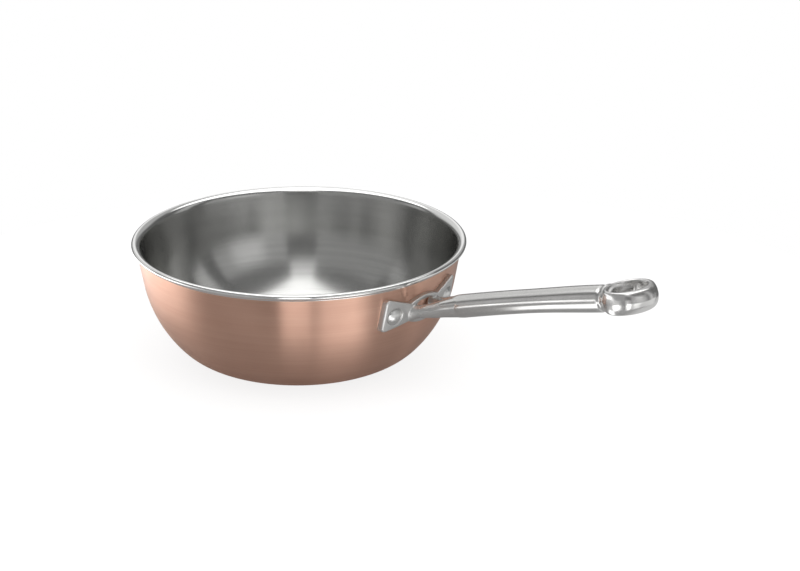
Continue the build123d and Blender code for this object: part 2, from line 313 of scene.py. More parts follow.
handle = Facts(
    rivetHeight=54.4, plate=3.5, plateRounding=0.8, tuck=0.6,
    wing=((9.0, 58.36), (31.1, 66.4), (32.0, 44.2), (9.0, 48.43)), wingRoundings=(1.0, 2.4, 2.4, 1.0),
    neckReach=12.4, neckTop=59.6, neckBottom=47.8, archTop=62.4, hubBottom=44.9,
    window=(7.4, 59.6, 50.2), windowRounding=2.8,
    rivetTurn=14.0, recessRadius=5.65, recessDepth=0.75, recessFade=0.3, recessFront=1.6,
    forkLength=35.0, forkRise=8.5, rootHeight=53.8, rootTurn=5.8, spread=9.8,
    rootShares=(0.44, 0.63),
    prongShares=(
        (0.2, 0.955, 0.07, 0.385, 0.565), (0.328, 0.81, 0.195, 0.42, 0.6),
        (0.442, 0.65, 0.31, 0.49, 0.66), (0.586, 0.48, 0.495, 0.56, 0.735),
        (0.758, 0.335, 0.7, 0.65, 0.82), (0.9, 0.225, 0.875, 0.71, 0.89),
    ),
    prongFlare=0.34, prongFlareLength=6.5,
    noseShares=(
        (0.4, 0.255, 0.087, 0.0945), (0.45, 0.31, 0.29, 0.315), (0.615, 0.5, 0.59, 0.66),
        (0.815, 0.775, 0.9, 0.95), (1.0, 1.0, 1.0, 1.0), (1.1, 1.131, 1.0, 1.0), (1.2, 1.263, 1.0, 1.0),
    ),
    noseInset=0.03, nosePlug=((0.4, 0.03), (4.0, 0.4)),
    gripSlopes=(17.7, 14.2), gripLength=100.7, gripHalf=(8.0, 6.95), gripEndHalf=(8.6, 7.85),
    swellShare=0.45, gripStart=((-4.0, 0.25), (-2.5, 0.12), (-1.2, 0.03)),
    gripEnd=((0.5, -0.01), (0.6, 0.3), (3.0, 0.6)),
    # The recess value is the edge value inside the rivet recesses: held low, it paints shade there.
    voxel=0.28, softening=12, edgeReach=0.03, recessPaintedShade=0.1, mattEnd=108, mattFade=8,
)


def onWall(across, height, depth):
    # The point straight in front of a place in the handle's end view, at a depth out of the wall.
    radius = wallRadius(height, depth)
    return np.stack([np.sqrt(radius ** 2 - across ** 2), across, height + 0 * radius], -1)


def roundedOutline(corners, rounding, perCorner=10, perSide=14):
    # A convex outline whose corners are arcs: each arc's centre is where its two sides, moved in by
    # the rounding, meet. A rounding is one number for each corner.
    corners = np.asarray(corners, float)
    share = np.linspace(0, 1, perCorner)[:, None]
    arcs = []
    beside = np.roll(corners, 1, 0), np.roll(corners, -1, 0)
    for here, before, after, radius in zip(corners, *beside, rounding):
        toBefore, toAfter = unit(before - here), unit(after - here)
        half = math.acos(np.clip(toBefore @ toAfter, -1, 1)) / 2
        centre = here + unit(toBefore + toAfter) * radius / math.sin(half)
        start, end = here + toBefore * radius / math.tan(half), here + toAfter * radius / math.tan(half)
        a, b = start - centre, end - centre
        sweep = math.acos(np.clip(unit(a) @ unit(b), -1, 1))
        bend = (np.sin((1 - share) * sweep) * a + np.sin(share * sweep) * b) / math.sin(sweep)
        arcs.append((start, end, centre + bend))
    share = np.linspace(0, 1, perSide + 2)[1:-1, None]
    loop = []
    for (_, end, bend), (stop, _, _) in zip(arcs, arcs[1:] + arcs[:1]):
        loop += [bend, end * (1 - share) + stop * share]
    return np.vstack(loop)


def makeWing(side):
    # A rounded slab on the wall: rings of its outline drawn in towards its middle, over the front face,
    # round the rim's quarter arc and back under it.
    outline = roundedOutline(handle.wing, handle.wingRoundings) * (side, 1)
    middle = outline.mean(0)
    distance = np.linalg.norm(outline - middle, axis=1)
    rim, thick, back = handle.plateRounding, handle.plate, -handle.tuck
    turn = np.radians(np.linspace(0, 90, 7))
    insets = np.concatenate([rim * (1 - np.sin(turn)), np.zeros(6)])
    depths = np.concatenate([thick - rim * (1 - np.cos(turn)), np.linspace(thick - rim, back, 7)[1:]])
    shares = 1 - insets[:, None] / distance
    inner = np.linspace(0.04, 1, 16)[:-1, None] * shares[0]
    shares = np.vstack([inner, shares, (inner[::-1] / shares[0]) * shares[-1]])
    depths = np.concatenate([np.full(len(inner), thick), depths, np.full(len(inner), back)])
    flat = middle + shares[..., None] * (outline - middle)
    grid = onWall(flat[..., 0], flat[..., 1], depths[:, None])
    return poleShell(grid, onWall(middle[0], middle[1], thick), onWall(middle[0], middle[1], back))


def makeHub():
    # The ring round the window: the window's rounded rectangle and the outline of arch and hub are
    # read at the same directions from the middle, and a rounded section joins them.
    halfWidth, top, bottom = handle.window
    middle = np.array([0.0, (top + bottom) / 2])
    corners = [(halfWidth, top), (halfWidth, bottom), (-halfWidth, bottom), (-halfWidth, top)]
    window = roundedOutline(corners, [handle.windowRounding] * 4)
    reach, high, low = handle.neckReach, handle.neckTop, handle.neckBottom
    across = np.linspace(-reach, reach, 60)
    bow = 1 - (across / reach) ** 2
    arch = np.stack([across, high + (handle.archTop - high) * bow], 1)
    hub = np.stack([across, low + (handle.hubBottom - low) * bow], 1)[::-1]
    outer = np.vstack([arch, hub])

    def directions(loop, turns):
        bearing = np.arctan2(loop[:, 1] - middle[1], loop[:, 0])
        order = np.argsort(bearing)
        radius = np.linalg.norm(loop - middle, axis=1)[order]
        reachAt = np.interp(turns, bearing[order], radius, period=2 * np.pi)
        return middle + reachAt[:, None] * np.stack([np.cos(turns), np.sin(turns)], 1)

    turns = np.linspace(-np.pi, np.pi, 240, endpoint=False)
    inner, outer = directions(window, turns), directions(outer, turns)
    thick, rim = handle.plate, handle.plateRounding
    width = np.linalg.norm(outer - inner, axis=1)
    quarter = np.radians(np.linspace(0, 90, 6))
    insets = np.append(rim * (1 - np.sin(quarter)), 0.0)
    depths = np.concatenate([[thick], thick - rim * (1 - np.cos(quarter)), [-handle.tuck]])
    fromInner = insets[:, None] / width
    shares = np.vstack([fromInner[::-1], 0.5 + 0 * fromInner[:1], 1 - fromInner])
    depths = np.concatenate([depths[::-1], depths[1:]])[:, None]
    flat = inner + shares[..., None] * (outer - inner)
    return torusShell(onWall(flat[..., 0], flat[..., 1], depths + 0 * shares))


def forkPlace(along, apart, up):
    # A place between the wall and the grip: shares of the fork's length, spread and rise, from its root.
    root = wallRadius(handle.rootHeight, 0)
    return np.stack([root + handle.forkLength * along, handle.spread * apart,
                     handle.rootHeight + handle.forkRise * up], -1)


def gripPlace(distance):
    # The grip's centre line is one arc whose slope eases from the first angle to the second.
    start, end = np.radians(handle.gripSlopes)
    bend = handle.gripLength / (start - end)
    here = start - distance / bend
    along, rise = bend * (math.sin(start) - np.sin(here)), bend * (np.cos(here) - math.cos(start))
    place = forkPlace(1.0, 0.0, 1.0) + np.stack([along, 0 * along, rise], -1)
    onward = np.stack([np.cos(here), 0 * here, np.sin(here)], -1)
    return place, onward


def gripHalf(distance):
    # Half width and half height: constant at first, then swelling to the end in a smooth step.
    plain = handle.swellShare
    share = np.clip(distance / handle.gripLength - plain, 0, 1) / (1 - plain)
    swell = share * share * (3 - share * 2)
    first, last = np.array(handle.gripHalf), np.array(handle.gripEndHalf)
    return (first + (last - first) * swell[:, None]).T


def alongGrip(distance, inset):
    # Places, both cross axes and both half sizes for a sweep along the grip, sunk in by an inset.
    place, onward = gripPlace(distance)
    across = np.broadcast_to([0.0, 1.0, 0.0], place.shape)
    wide, high = gripHalf(distance)
    return place, across, np.cross(onward, across), wide - inset, high - inset


def makeProng(side):
    # One leg of the fork: ovals across its course, from inside the plate until it has sunk into the
    # nose. At the plate it flares by the square of what is left of the flare's length.
    root, normal = wallPlace(handle.rootTurn * side, handle.rootHeight)
    start = root + normal * handle.plate / 2
    shares = np.array(handle.prongShares)
    places = np.vstack([start, forkPlace(shares[:, 0], shares[:, 1] * side, shares[:, 2])])
    sizes = np.vstack([handle.rootShares, shares[:, 3:]]) * handle.gripHalf
    knots = np.concatenate([[0.0], np.cumsum(np.linalg.norm(np.diff(places, axis=0), axis=1))])
    samples = np.linspace(0, knots[-1], 90)
    course = splineThrough(knots, places, samples)
    half = splineThrough(knots, sizes, samples)
    flare = 1 + handle.prongFlare * np.clip(1 - samples / handle.prongFlareLength, 0, 1) ** 2
    onward = unit(np.gradient(course, axis=0))
    across = unit(np.stack([-onward[:, 1], onward[:, 0], 0 * onward[:, 0]], 1))
    return sweepOval(course, across, np.cross(onward, across), half[:, 0] * flare, half[:, 1] * flare, 56)


def makeNose():
    # The bar between the prongs swells from a blunt point to the grip's section, and runs on a little
    # inside the grip. Its last two rows only steer the spline.
    shares = np.array(handle.noseShares)
    along = np.linspace(shares[0, 0], 1, 50)
    rows = splineThrough(shares[:, 0], shares[:, 1:], along)
    place = forkPlace(along, 0 * along, rows[:, 0])
    _, onward = gripPlace(np.zeros(50))
    across = np.broadcast_to([0.0, 1.0, 0.0], place.shape)
    half = rows[:, 1:] * handle.gripHalf - handle.noseInset
    plug = np.linspace(*handle.nosePlug, 10)
    more = alongGrip(plug[:, 0], plug[:, 1])
    return sweepOval(np.vstack([place, more[0]]), np.vstack([across, more[1]]),
                     np.vstack([np.cross(onward, across), more[2]]),
                     np.append(half[:, 0], more[3]), np.append(half[:, 1], more[4]), 72)


def wallPlace(turn, height):
    # A place on the wall's outer face, at degrees round from the handle, and its outward normal.
    turn = math.radians(turn)
    radius = float(wallRadius(height, 0))
    normal = np.array([math.cos(turn) * sine, math.sin(turn) * sine, -cosine])
    return np.array([radius * math.cos(turn), radius * math.sin(turn), height]), normal


def makeCasting():
    # Wings, hub, prongs and nose become one skin. Round each rivet the front is pushed back to the
    # recess's floor, fading out at its rim. Edge is the wear and dirt mask, held low in the recesses so
    # that they take painted shade, and matt fades out along the bar.
    shells = [makeWing(-1), makeWing(1), makeHub(), makeProng(-1), makeProng(1), makeNose()]
    piece = newPiece("forkCasting", shells)
    castTogether(piece, handle.voxel, handle.softening)
    points = readPoints(piece)
    depth = (np.hypot(points[:, 0], points[:, 1]) - wallRadius(points[:, 2], 0)) * sine
    front = depth > handle.recessFront
    floorDepth, fade = handle.plate - handle.recessDepth, handle.recessFade
    inRecess = np.zeros(len(points), bool)
    for side in (-1, 1):
        centre, normal = wallPlace(handle.rivetTurn * side, handle.rivetHeight)
        offset = points - centre
        away = np.linalg.norm(offset - (offset @ normal)[:, None] * normal, axis=1)
        share = np.clip((handle.recessRadius + fade / 2 - away) / fade, 0, 1) * front
        points -= (np.maximum(depth - floorDepth, 0) * share)[:, None] * normal
        inRecess |= front & (away < handle.recessRadius)
    writePoints(piece, points)
    edge = edgeMask(piece, handle.edgeReach)
    # Inside the rivet recesses the edge value is held low, which paints shade round the rivets.
    writeMask(piece, "edge", np.where(inRecess, handle.recessPaintedShade, edge))
    writeMask(piece, "matt", (handle.mattEnd - points[:, 0]) / handle.mattFade)
    return piece


forkCasting = makeCasting()
print("fork cast:", len(forkCasting.data.polygons), "faces")


def makeGrip():
    # The swept tube: it rises slowly out of the casting to be flush with it, and its far end has a
    # small rounded step before the eye's neck.
    start, end = np.array(handle.gripStart), np.array(handle.gripEnd)
    length = handle.gripLength
    distance = np.concatenate([start[:, 0], np.linspace(0, length, 110), length + end[:, 0]])
    inset = np.concatenate([start[:, 1], np.zeros(110), end[:, 1]])
    piece = newPiece("gripTube", [sweepOval(*alongGrip(distance, inset), 96)], 50)
    writeMask(piece, "edge", np.full(len(piece.data.vertices), 0.5))
    writeMask(piece, "matt", np.zeros(len(piece.data.vertices)))
    return piece


gripTube = makeGrip()

eye = Facts(
    alongOffset=17.0, upOffset=11.8, tilt=9.0, height=13.2, hole=(10.2, 13.2),
    rimWall=2.8, bulge=(2.8, 0.9), tipShift=1.0, squareness=7.0,
    neck=((-3.0, 0.0, 8.2, 7.45), (0.0, 0.0, 8.57, 7.82), (1.2, 0.0, 8.57, 7.8), (2.2, 0.0, 7.95, 7.3),
             (3.2, 0.3, 8.5, 7.35), (4.6, 0.9, 9.4, 7.45), (8.5, 1.8, 11.0, 5.6), (11.0, 2.2, 11.2, 4.6)),
    neckLag=3.0, lagStart=0.6, voxel=0.28, softening=24, edgeReach=0.03,
)


def makeEye():
    # The barrel: a rounded rectangular section between the hole's oval and the bulged outer oval, read
    # at each direction round the eye. The neck: ovals that dip into the groove and rise to a shoulder,
    # each one bent onward at its sides by the square of the distance from the middle.
    tilt = math.radians(eye.tilt)
    end, onward = gripPlace(np.array([handle.gripLength]))
    end, onward = end[0], onward[0]
    centre = end + (eye.alongOffset, 0, eye.upOffset)
    along = np.array([math.cos(tilt), 0, math.sin(tilt)])
    up = np.array([-math.sin(tilt), 0, math.cos(tilt)])
    across = np.array([0.0, 1.0, 0.0])
    turn = fullTurn(180)[:, None]
    loop = fullTurn(96)[None, :]
    power = 2 / eye.squareness
    outwardShare = 0.5 + 0.5 * np.sign(np.cos(loop)) * np.abs(np.cos(loop)) ** power
    drop = 0.5 - 0.5 * np.sign(np.sin(loop)) * np.abs(np.sin(loop)) ** power
    fullness = 4 * drop * (1 - drop)
    holeLength, holeWidth = eye.hole
    outerLength = holeLength + eye.rimWall + eye.bulge[0] * fullness
    outerWidth = holeWidth + eye.rimWall + eye.bulge[1] * fullness
    x = np.cos(turn) * (holeLength + (outerLength - holeLength) * outwardShare)
    x = x + eye.tipShift * outwardShare
    y = np.sin(turn) * (holeWidth + (outerWidth - holeWidth) * outwardShare)
    z = -drop * eye.height + 0 * turn
    barrel = centre + x[..., None] * along + y[..., None] * across + z[..., None] * up
    neck = np.array(eye.neck)
    samples = np.linspace(neck[0, 0], neck[-1, 0], 70)
    rows = np.stack([np.interp(samples, neck[:, 0], neck[:, column]) for column in (1, 2, 3)], 1)
    course = end + samples[:, None] * onward + rows[:, :1] * np.array([0, 0, 1.0])
    shape = (len(samples), 3)
    points, faces = sweepOval(course, np.broadcast_to(across, shape),
                              np.broadcast_to(np.cross(onward, across), shape), rows[:, 1], rows[:, 2], 96)
    lag = ((points - end) @ across / rows[:, 1].max()) ** 2 * eye.neckLag
    ahead = (points - end) @ onward
    points = points + (lag * np.clip(ahead - eye.lagStart, 0, 1))[:, None] * onward
    piece = newPiece("hangingEye", [torusShell(barrel), (points, faces)])
    castTogether(piece, eye.voxel, eye.softening)
    writeMask(piece, "edge", edgeMask(piece, eye.edgeReach))
    return piece


hangingEye = makeEye()
print("eye cast:", len(hangingEye.data.polygons), "faces")

rivet = Facts(
    headRadius=4.7, headHeight=2.5, edge=0.35, skirt=0.1, tuck=0.05, shank=2.5,
    innerRadius=5.0, innerHeight=1.1, innerTuck=0.7, innerRim=0.6, innerRounding=0.5,
    crown=0.1,
)


def makeRivet(name, side):
    # A turned profile along the wall's normal: dome, shank, and a low rounded head inside the bowl.
    centre, normal = wallPlace(handle.rivetTurn * side, handle.rivetHeight)
    seat = handle.plate - handle.recessDepth
    radius, innerRadius = rivet.headRadius, rivet.innerRadius
    domeHeight = rivet.headHeight - rivet.edge
    ball = (radius ** 2 + domeHeight ** 2) / domeHeight / 2
    sweep = math.degrees(math.asin(radius / ball))
    dome = arc((0, seat + rivet.headHeight - ball), ball, 90, 90 - sweep, 24)
    under, inner = seat - rivet.tuck, rivet.innerTuck - bowl.wall
    skirt = np.array([[radius, seat + rivet.edge * 0.5], [radius - rivet.skirt, under]])
    inside = -bowl.wall - rivet.innerHeight
    shank = np.array([[rivet.shank, under], [rivet.shank, inner], [innerRadius, inner],
                      [innerRadius, inside + rivet.innerRim]])
    rounding = rivet.innerRounding
    button = arc((innerRadius - rounding, inside + rivet.innerRim), rounding, 0, -80, 7)
    share = np.array([0.7, 0.4, 0.0])
    crown = np.stack([innerRadius * share, inside + rivet.crown * share ** 2], 1)
    profile = np.vstack([dome, skirt, shank, button, crown])
    points, faces = spin(profile, 64)
    across = unit(np.cross(normal, [0, 0, 1.0]))
    frameAxes = np.stack([across, np.cross(normal, across), normal])
    piece = newPiece(name, [(centre + points @ frameAxes, faces)], 45)
    writeMask(piece, "edge", 0.5 + 0 * points[:, 0])
    return piece


rivetNear, rivetFar = makeRivet("rivetNear", -1), makeRivet("rivetFar", 1)
print("rivets made")


# Materials

def feed(tree, node, inputs):
    # Each input is given a plain value, or a socket that feeds it.
    for key, value in inputs.items():
        if isinstance(value, bpy.types.NodeSocket):
            tree.links.new(value, node.inputs[key])
        else:
            node.inputs[key].default_value = value


def addNode(tree, kind, inputs=None, **settings):
    # A shader node with its settings and its inputs.
    node = tree.nodes.new("ShaderNode" + kind)
    for key, value in settings.items():
        setattr(node, key, value)
    feed(tree, node, inputs or {})
    return node


def addMath(tree, operation, *values, clamp=False):
    # One operation on plain values and sockets, in the order that it takes them.
    inputs = dict(enumerate(values))
    return addNode(tree, "Math", inputs, operation=operation, use_clamp=clamp).outputs[0]


def times(tree, value, factor, plus=None, clamp=False):
    # A product, and with a third value the sum of both.
    if plus is None:
        return addMath(tree, "MULTIPLY", value, factor, clamp=clamp)
    return addMath(tree, "MULTIPLY_ADD", value, factor, plus, clamp=clamp)


def addNoise(tree, vector, scale, detail, roughness=0.5):
    # A cloudy noise round one half.
    inputs = {"Vector": vector, "Scale": scale, "Detail": detail, "Roughness": roughness}
    return addNode(tree, "TexNoise", inputs).outputs["Fac"]


def addAxes(tree, vector):
    # A vector's three numbers, and its length seen from above.
    axes = addNode(tree, "SeparateXYZ", {"Vector": vector}).outputs
    square = times(tree, axes["X"], axes["X"], times(tree, axes["Y"], axes["Y"]))
    return axes, addMath(tree, "SQRT", square)


def mapRange(tree, value, fromMin, fromMax, toMin=0.0, toMax=1.0, smooth=True):
    # Carries a range over to another one, held at its ends, in a smooth step or a straight line.
    inputs = {"Value": value, "From Min": fromMin, "From Max": fromMax, "To Min": toMin, "To Max": toMax}
    kind = "SMOOTHSTEP" if smooth else "LINEAR"
    return addNode(tree, "MapRange", inputs, interpolation_type=kind).outputs[0]


def mixColour(tree, factor, first, second):
    # The first colour at factor 0, the second at factor 1; each is a plain colour or a socket.
    inputs = {0: factor, 6: first, 7: second}
    inputs = {key: (*value, 1.0) if isinstance(value, tuple) else value for key, value in inputs.items()}
    return addNode(tree, "Mix", inputs, data_type="RGBA").outputs[2]


def newGroup(name, inputs, outputs):
    # A node group with its sockets, what its inputs give inside, and the node that takes its outputs.
    group = bpy.data.node_groups.new(name, "ShaderNodeTree")
    for label, kind, value in inputs:
        socket = group.interface.new_socket(label, in_out="INPUT", socket_type="NodeSocket" + kind)
        if value is not None:
            socket.default_value = value
    for label in outputs:
        group.interface.new_socket(label, in_out="OUTPUT", socket_type="NodeSocketFloat")
    return group, group.nodes.new("NodeGroupInput").outputs, group.nodes.new("NodeGroupOutput")


grainFacts = Facts(details={"Lines": 3.0, "Bands": 2.0, "Micro": 1.0}, roughness=0.6, spread=(0.25, 0.75))
handlingFacts = Facts(
    smudgeDetail=4.0, smudgeRoughness=0.55, smudgeSpread=(0.35, 0.7),
    hairTurn=(0.6, 0.9, 0.4), hairStretch=(1.0, 0.05, 1.0), hairDetail=2.0, hairRoughness=0.7,
    hairWidth=0.012,
)
# The last range is where corners and recesses darken, partly as dirt and partly as painted shade.
wearAndShadeFacts = Facts(detail=3.0, unevenness=0.24, rubbed=(0.62, 0.95), dirtyAndShaded=(0.42, 0.12))


def buildBrushGrain():
    # Streaks: noise on a vector that is already stretched along the brushing. Lines is the fine mark,
    # Bands the broader change of tone, and Micro the grit under both that only tilts the surface.
    group, source, sink = newGroup("brushGrain", [("Vector", "Vector", None), ("Lines", "Float", 1.0),
                                                  ("Bands", "Float", 0.2), ("Micro", "Float", 3.0)],
                                   ["Lines", "Bands", "Micro"])
    for label, detail in grainFacts.details.items():
        noise = addNoise(group, source["Vector"], source[label], detail, grainFacts.roughness)
        feed(group, sink, {label: mapRange(group, noise, *grainFacts.spread, smooth=False)})
    return group


def buildHandling():
    # Use marks: Smudge is a broad, soft unevenness from wiping, and Scratch a few crossing hairlines,
    # where a stretched noise is near its middle value.
    group, source, sink = newGroup("handlingMarks", [("Vector", "Vector", None), ("Smudge", "Float", 20.0),
                                                     ("Scratch", "Float", 60.0)], ["Smudge", "Scratch"])
    facts = handlingFacts
    cloud = addNoise(group, source["Vector"], source["Smudge"], facts.smudgeDetail, facts.smudgeRoughness)
    turned = addNode(group, "Mapping", {
        "Vector": source["Vector"], "Rotation": facts.hairTurn, "Scale": facts.hairStretch})
    hair = addNoise(group, turned.outputs["Vector"], source["Scratch"], facts.hairDetail,
                    facts.hairRoughness)
    near = addMath(group, "ABSOLUTE", addMath(group, "SUBTRACT", hair, 0.5))
    feed(group, sink, {"Smudge": mapRange(group, cloud, *facts.smudgeSpread),
                       "Scratch": mapRange(group, near, facts.hairWidth, 0.0)})
    return group


def buildEdgeWearAndShade():
    # Wear: bright rub on outer edges, broken by noise. DirtAndShade: darkening that stays in the corners,
    # partly dirt and partly painted shade.
    group, source, sink = newGroup("edgeWearAndShade", [("Vector", "Vector", None), ("Edge", "Float", 0.5),
                                                ("Break", "Float", 300.0)], ["Wear", "DirtAndShade"])
    noise = addNoise(group, source["Vector"], source["Break"], wearAndShadeFacts.detail)
    uneven = wearAndShadeFacts.unevenness
    shift = times(group, noise, uneven, -uneven / 2)
    broken = addMath(group, "ADD", source["Edge"], shift)
    feed(group, sink, {"Wear": mapRange(group, broken, *wearAndShadeFacts.rubbed),
                       "DirtAndShade": mapRange(group, broken, *wearAndShadeFacts.dirtyAndShaded)})
    return group


brushGrain, handlingMarks, edgeWearAndShade = buildBrushGrain(), buildHandling(), buildEdgeWearAndShade()


def newMaterial(name, constants):
    # A material with one Principled shader, whose constant inputs are plain values.
    material = bpy.data.materials.new(name)
    material.use_nodes = True
    tree = material.node_tree
    tree.nodes.clear()
    shader = addNode(tree, "BsdfPrincipled", constants)
    addNode(tree, "OutputMaterial", {"Surface": shader.outputs[0]})
    return material, tree, shader


def roundVector(tree, around, upward):
    # Streaks that run round the bowl: slow in x and y, fast in height plus distance from the axis.
    place = addNode(tree, "TexCoord").outputs["Object"]
    axes, away = addAxes(tree, place)
    level = addMath(tree, "ADD", away, axes["Z"])
    vector = addNode(tree, "CombineXYZ", {
        "X": times(tree, axes["X"], around), "Y": times(tree, axes["Y"], around),
        "Z": times(tree, level, upward)})
    return vector.outputs[0], place, axes["Z"]


copperFinish = Facts(
    light=(0.88, 0.57, 0.44), deep=(0.76, 0.44, 0.33), darkCopper=(0.60, 0.34, 0.26),
    anisotropy=1.0, roughness=(0.31, 0.40), around=22.0, upward=1500.0, bands=0.12,
    lineTone=0.45, smudge=24.0, scratch=90.0, bump=0.5,
    toneLift=0.08, smudgeStain=0.14, baseDarkening=0.35, lowHeight=0.022,
)
liningFinish = Facts(
    # The lip colour is a lighter copy of the lining steel: a painted highlight on the rim.
    light=(0.60, 0.60, 0.585), deep=(0.48, 0.48, 0.47), lip=(0.78, 0.78, 0.77),
    anisotropy=0.7, roughness=(0.17, 0.24), around=18.0, upward=1700.0, bands=0.15,
    lineTone=0.5, smudge=18.0, scratch=70.0, bump=0.06,
    lipRoughness=0.14, smudgeTone=0.12,
)


brushing = Facts(turn=0.25, lines=1.0, micro=2.6, bandTone=0.4, lineDull=0.5, smudgeDull=0.5,
            microRelief=0.6, depth=0.00002)


def brushRound(name, facts):
    # What both skins of the bowl share: fine lines round the axis that tilt the surface, a tone from
    # lines and bands, and a roughness that grows with lines and smudges.
    material, tree, shader = newMaterial(name, {
        "Metallic": 1.0, "Anisotropic": facts.anisotropy, "Anisotropic Rotation": brushing.turn})
    vector, place, height = roundVector(tree, facts.around, facts.upward)
    grain = addNode(tree, "Group", {
        "Vector": vector, "Lines": brushing.lines, "Bands": facts.bands,
        "Micro": brushing.micro}, node_tree=brushGrain).outputs
    marks = addNode(tree, "Group", {
        "Vector": place, "Smudge": facts.smudge, "Scratch": facts.scratch}, node_tree=handlingMarks)
    lines, smudge = grain["Lines"], marks.outputs["Smudge"]
    tone = times(tree, lines, facts.lineTone, times(tree, grain["Bands"], brushing.bandTone))
    dull = times(tree, lines, brushing.lineDull, times(tree, smudge, brushing.smudgeDull))
    rough = mapRange(tree, dull, 0.0, 1.0, *facts.roughness, smooth=False)
    relief = times(tree, grain["Micro"], brushing.microRelief, lines)
    tiltSurface(tree, shader, facts.bump, relief)
    return material, tree, shader, tone, smudge, rough, height


def tiltSurface(tree, shader, strength, relief):
    # A relief of 0 to about 1 tilts the normal.
    bump = addNode(tree, "Bump", {"Strength": strength, "Distance": brushing.depth, "Height": relief})
    feed(tree, shader, {"Normal": bump.outputs[0]})


def makeCopper(facts):
    # Light and deep copper by the tone, and a darker copper that grows with smudges and towards the base.
    material, tree, shader, tone, smudge, rough, height = brushRound("brushedCopper", facts)
    tone = addMath(tree, "ADD", tone, facts.toneLift, clamp=True)
    colour = mixColour(tree, tone, facts.light, facts.deep)
    # Darker towards the base, below the low height.
    low = mapRange(tree, height, facts.lowHeight, 0.0, 0.0, facts.baseDarkening)
    darkening = times(tree, smudge, facts.smudgeStain, low, clamp=True)
    colour = mixColour(tree, darkening, colour, facts.darkCopper)
    feed(tree, shader, {"Base Color": colour, "Roughness": rough})
    return material


def makeLining(facts):
    # Light and deep steel by the tone, a little deeper in smudges; the lip is smoother, and its brighter
    # colour is a painted highlight.
    material, tree, shader, tone, smudge, rough, _ = brushRound("brushedLining", facts)
    lip = addNode(tree, "Attribute", attribute_name="lip").outputs["Fac"]
    colour = mixColour(tree, tone, facts.light, facts.deep)
    smudged = times(tree, smudge, facts.smudgeTone)
    colour = mixColour(tree, smudged, colour, facts.deep)
    # The lip's brighter colour is a painted highlight.
    colour = mixColour(tree, lip, colour, facts.lip)
    toLip = addMath(tree, "SUBTRACT", facts.lipRoughness, rough)
    feed(tree, shader, {"Base Color": colour, "Roughness": times(tree, toLip, lip, rough)})
    return material


steelFinishes = {
    "handleSteel": Facts(
        light=(0.72, 0.715, 0.70), deep=(0.63, 0.625, 0.615), roughness=(0.17, 0.25),
        mattRoughness=0.22, stretch=(0.04, 1.0, 1.0), lines=1300.0, bump=0.12, wearAndShadeStrength=0.3,
    ),
    "eyeSteel": Facts(
        light=(0.76, 0.755, 0.745), deep=(0.68, 0.675, 0.665), roughness=(0.21, 0.27),
        mattRoughness=0.0, stretch=(0.1, 1.0, 1.0), lines=900.0, bump=0.05, wearAndShadeStrength=0.3,
    ),
    "rivetSteel": Facts(
        light=(0.82, 0.82, 0.81), deep=(0.74, 0.74, 0.73), roughness=(0.30, 0.36),
        mattRoughness=0.0, stretch=(1.0, 1.0, 1.0), lines=1200.0, bump=0.06, wearAndShadeStrength=0.0,
    ),
    "coreAluminium": Facts(
        light=(0.78, 0.785, 0.79), deep=(0.66, 0.665, 0.67), roughness=(0.35, 0.5),
        mattRoughness=0.0, stretch=(1.0, 1.0, 0.1), lines=800.0, bump=0.3, wearAndShadeStrength=0.0,
    ),
}
steelMarks = Facts(
    lean=16.0, bands=0.2, micro=3, smudge=45.0, scratch=160.0, wearAndShadeScale=500.0,
    # The dark tint on the next line is for corners and rivet recesses, partly dirt and partly painted
    # shade.
    dirtAndShade=(0.20, 0.19, 0.18), rub=(0.86, 0.86, 0.85), lineTone=0.5,
    smudgeTone=0.5, scratchDull=0.3, microRelief=0.5, scratchRelief=-0.4,
)


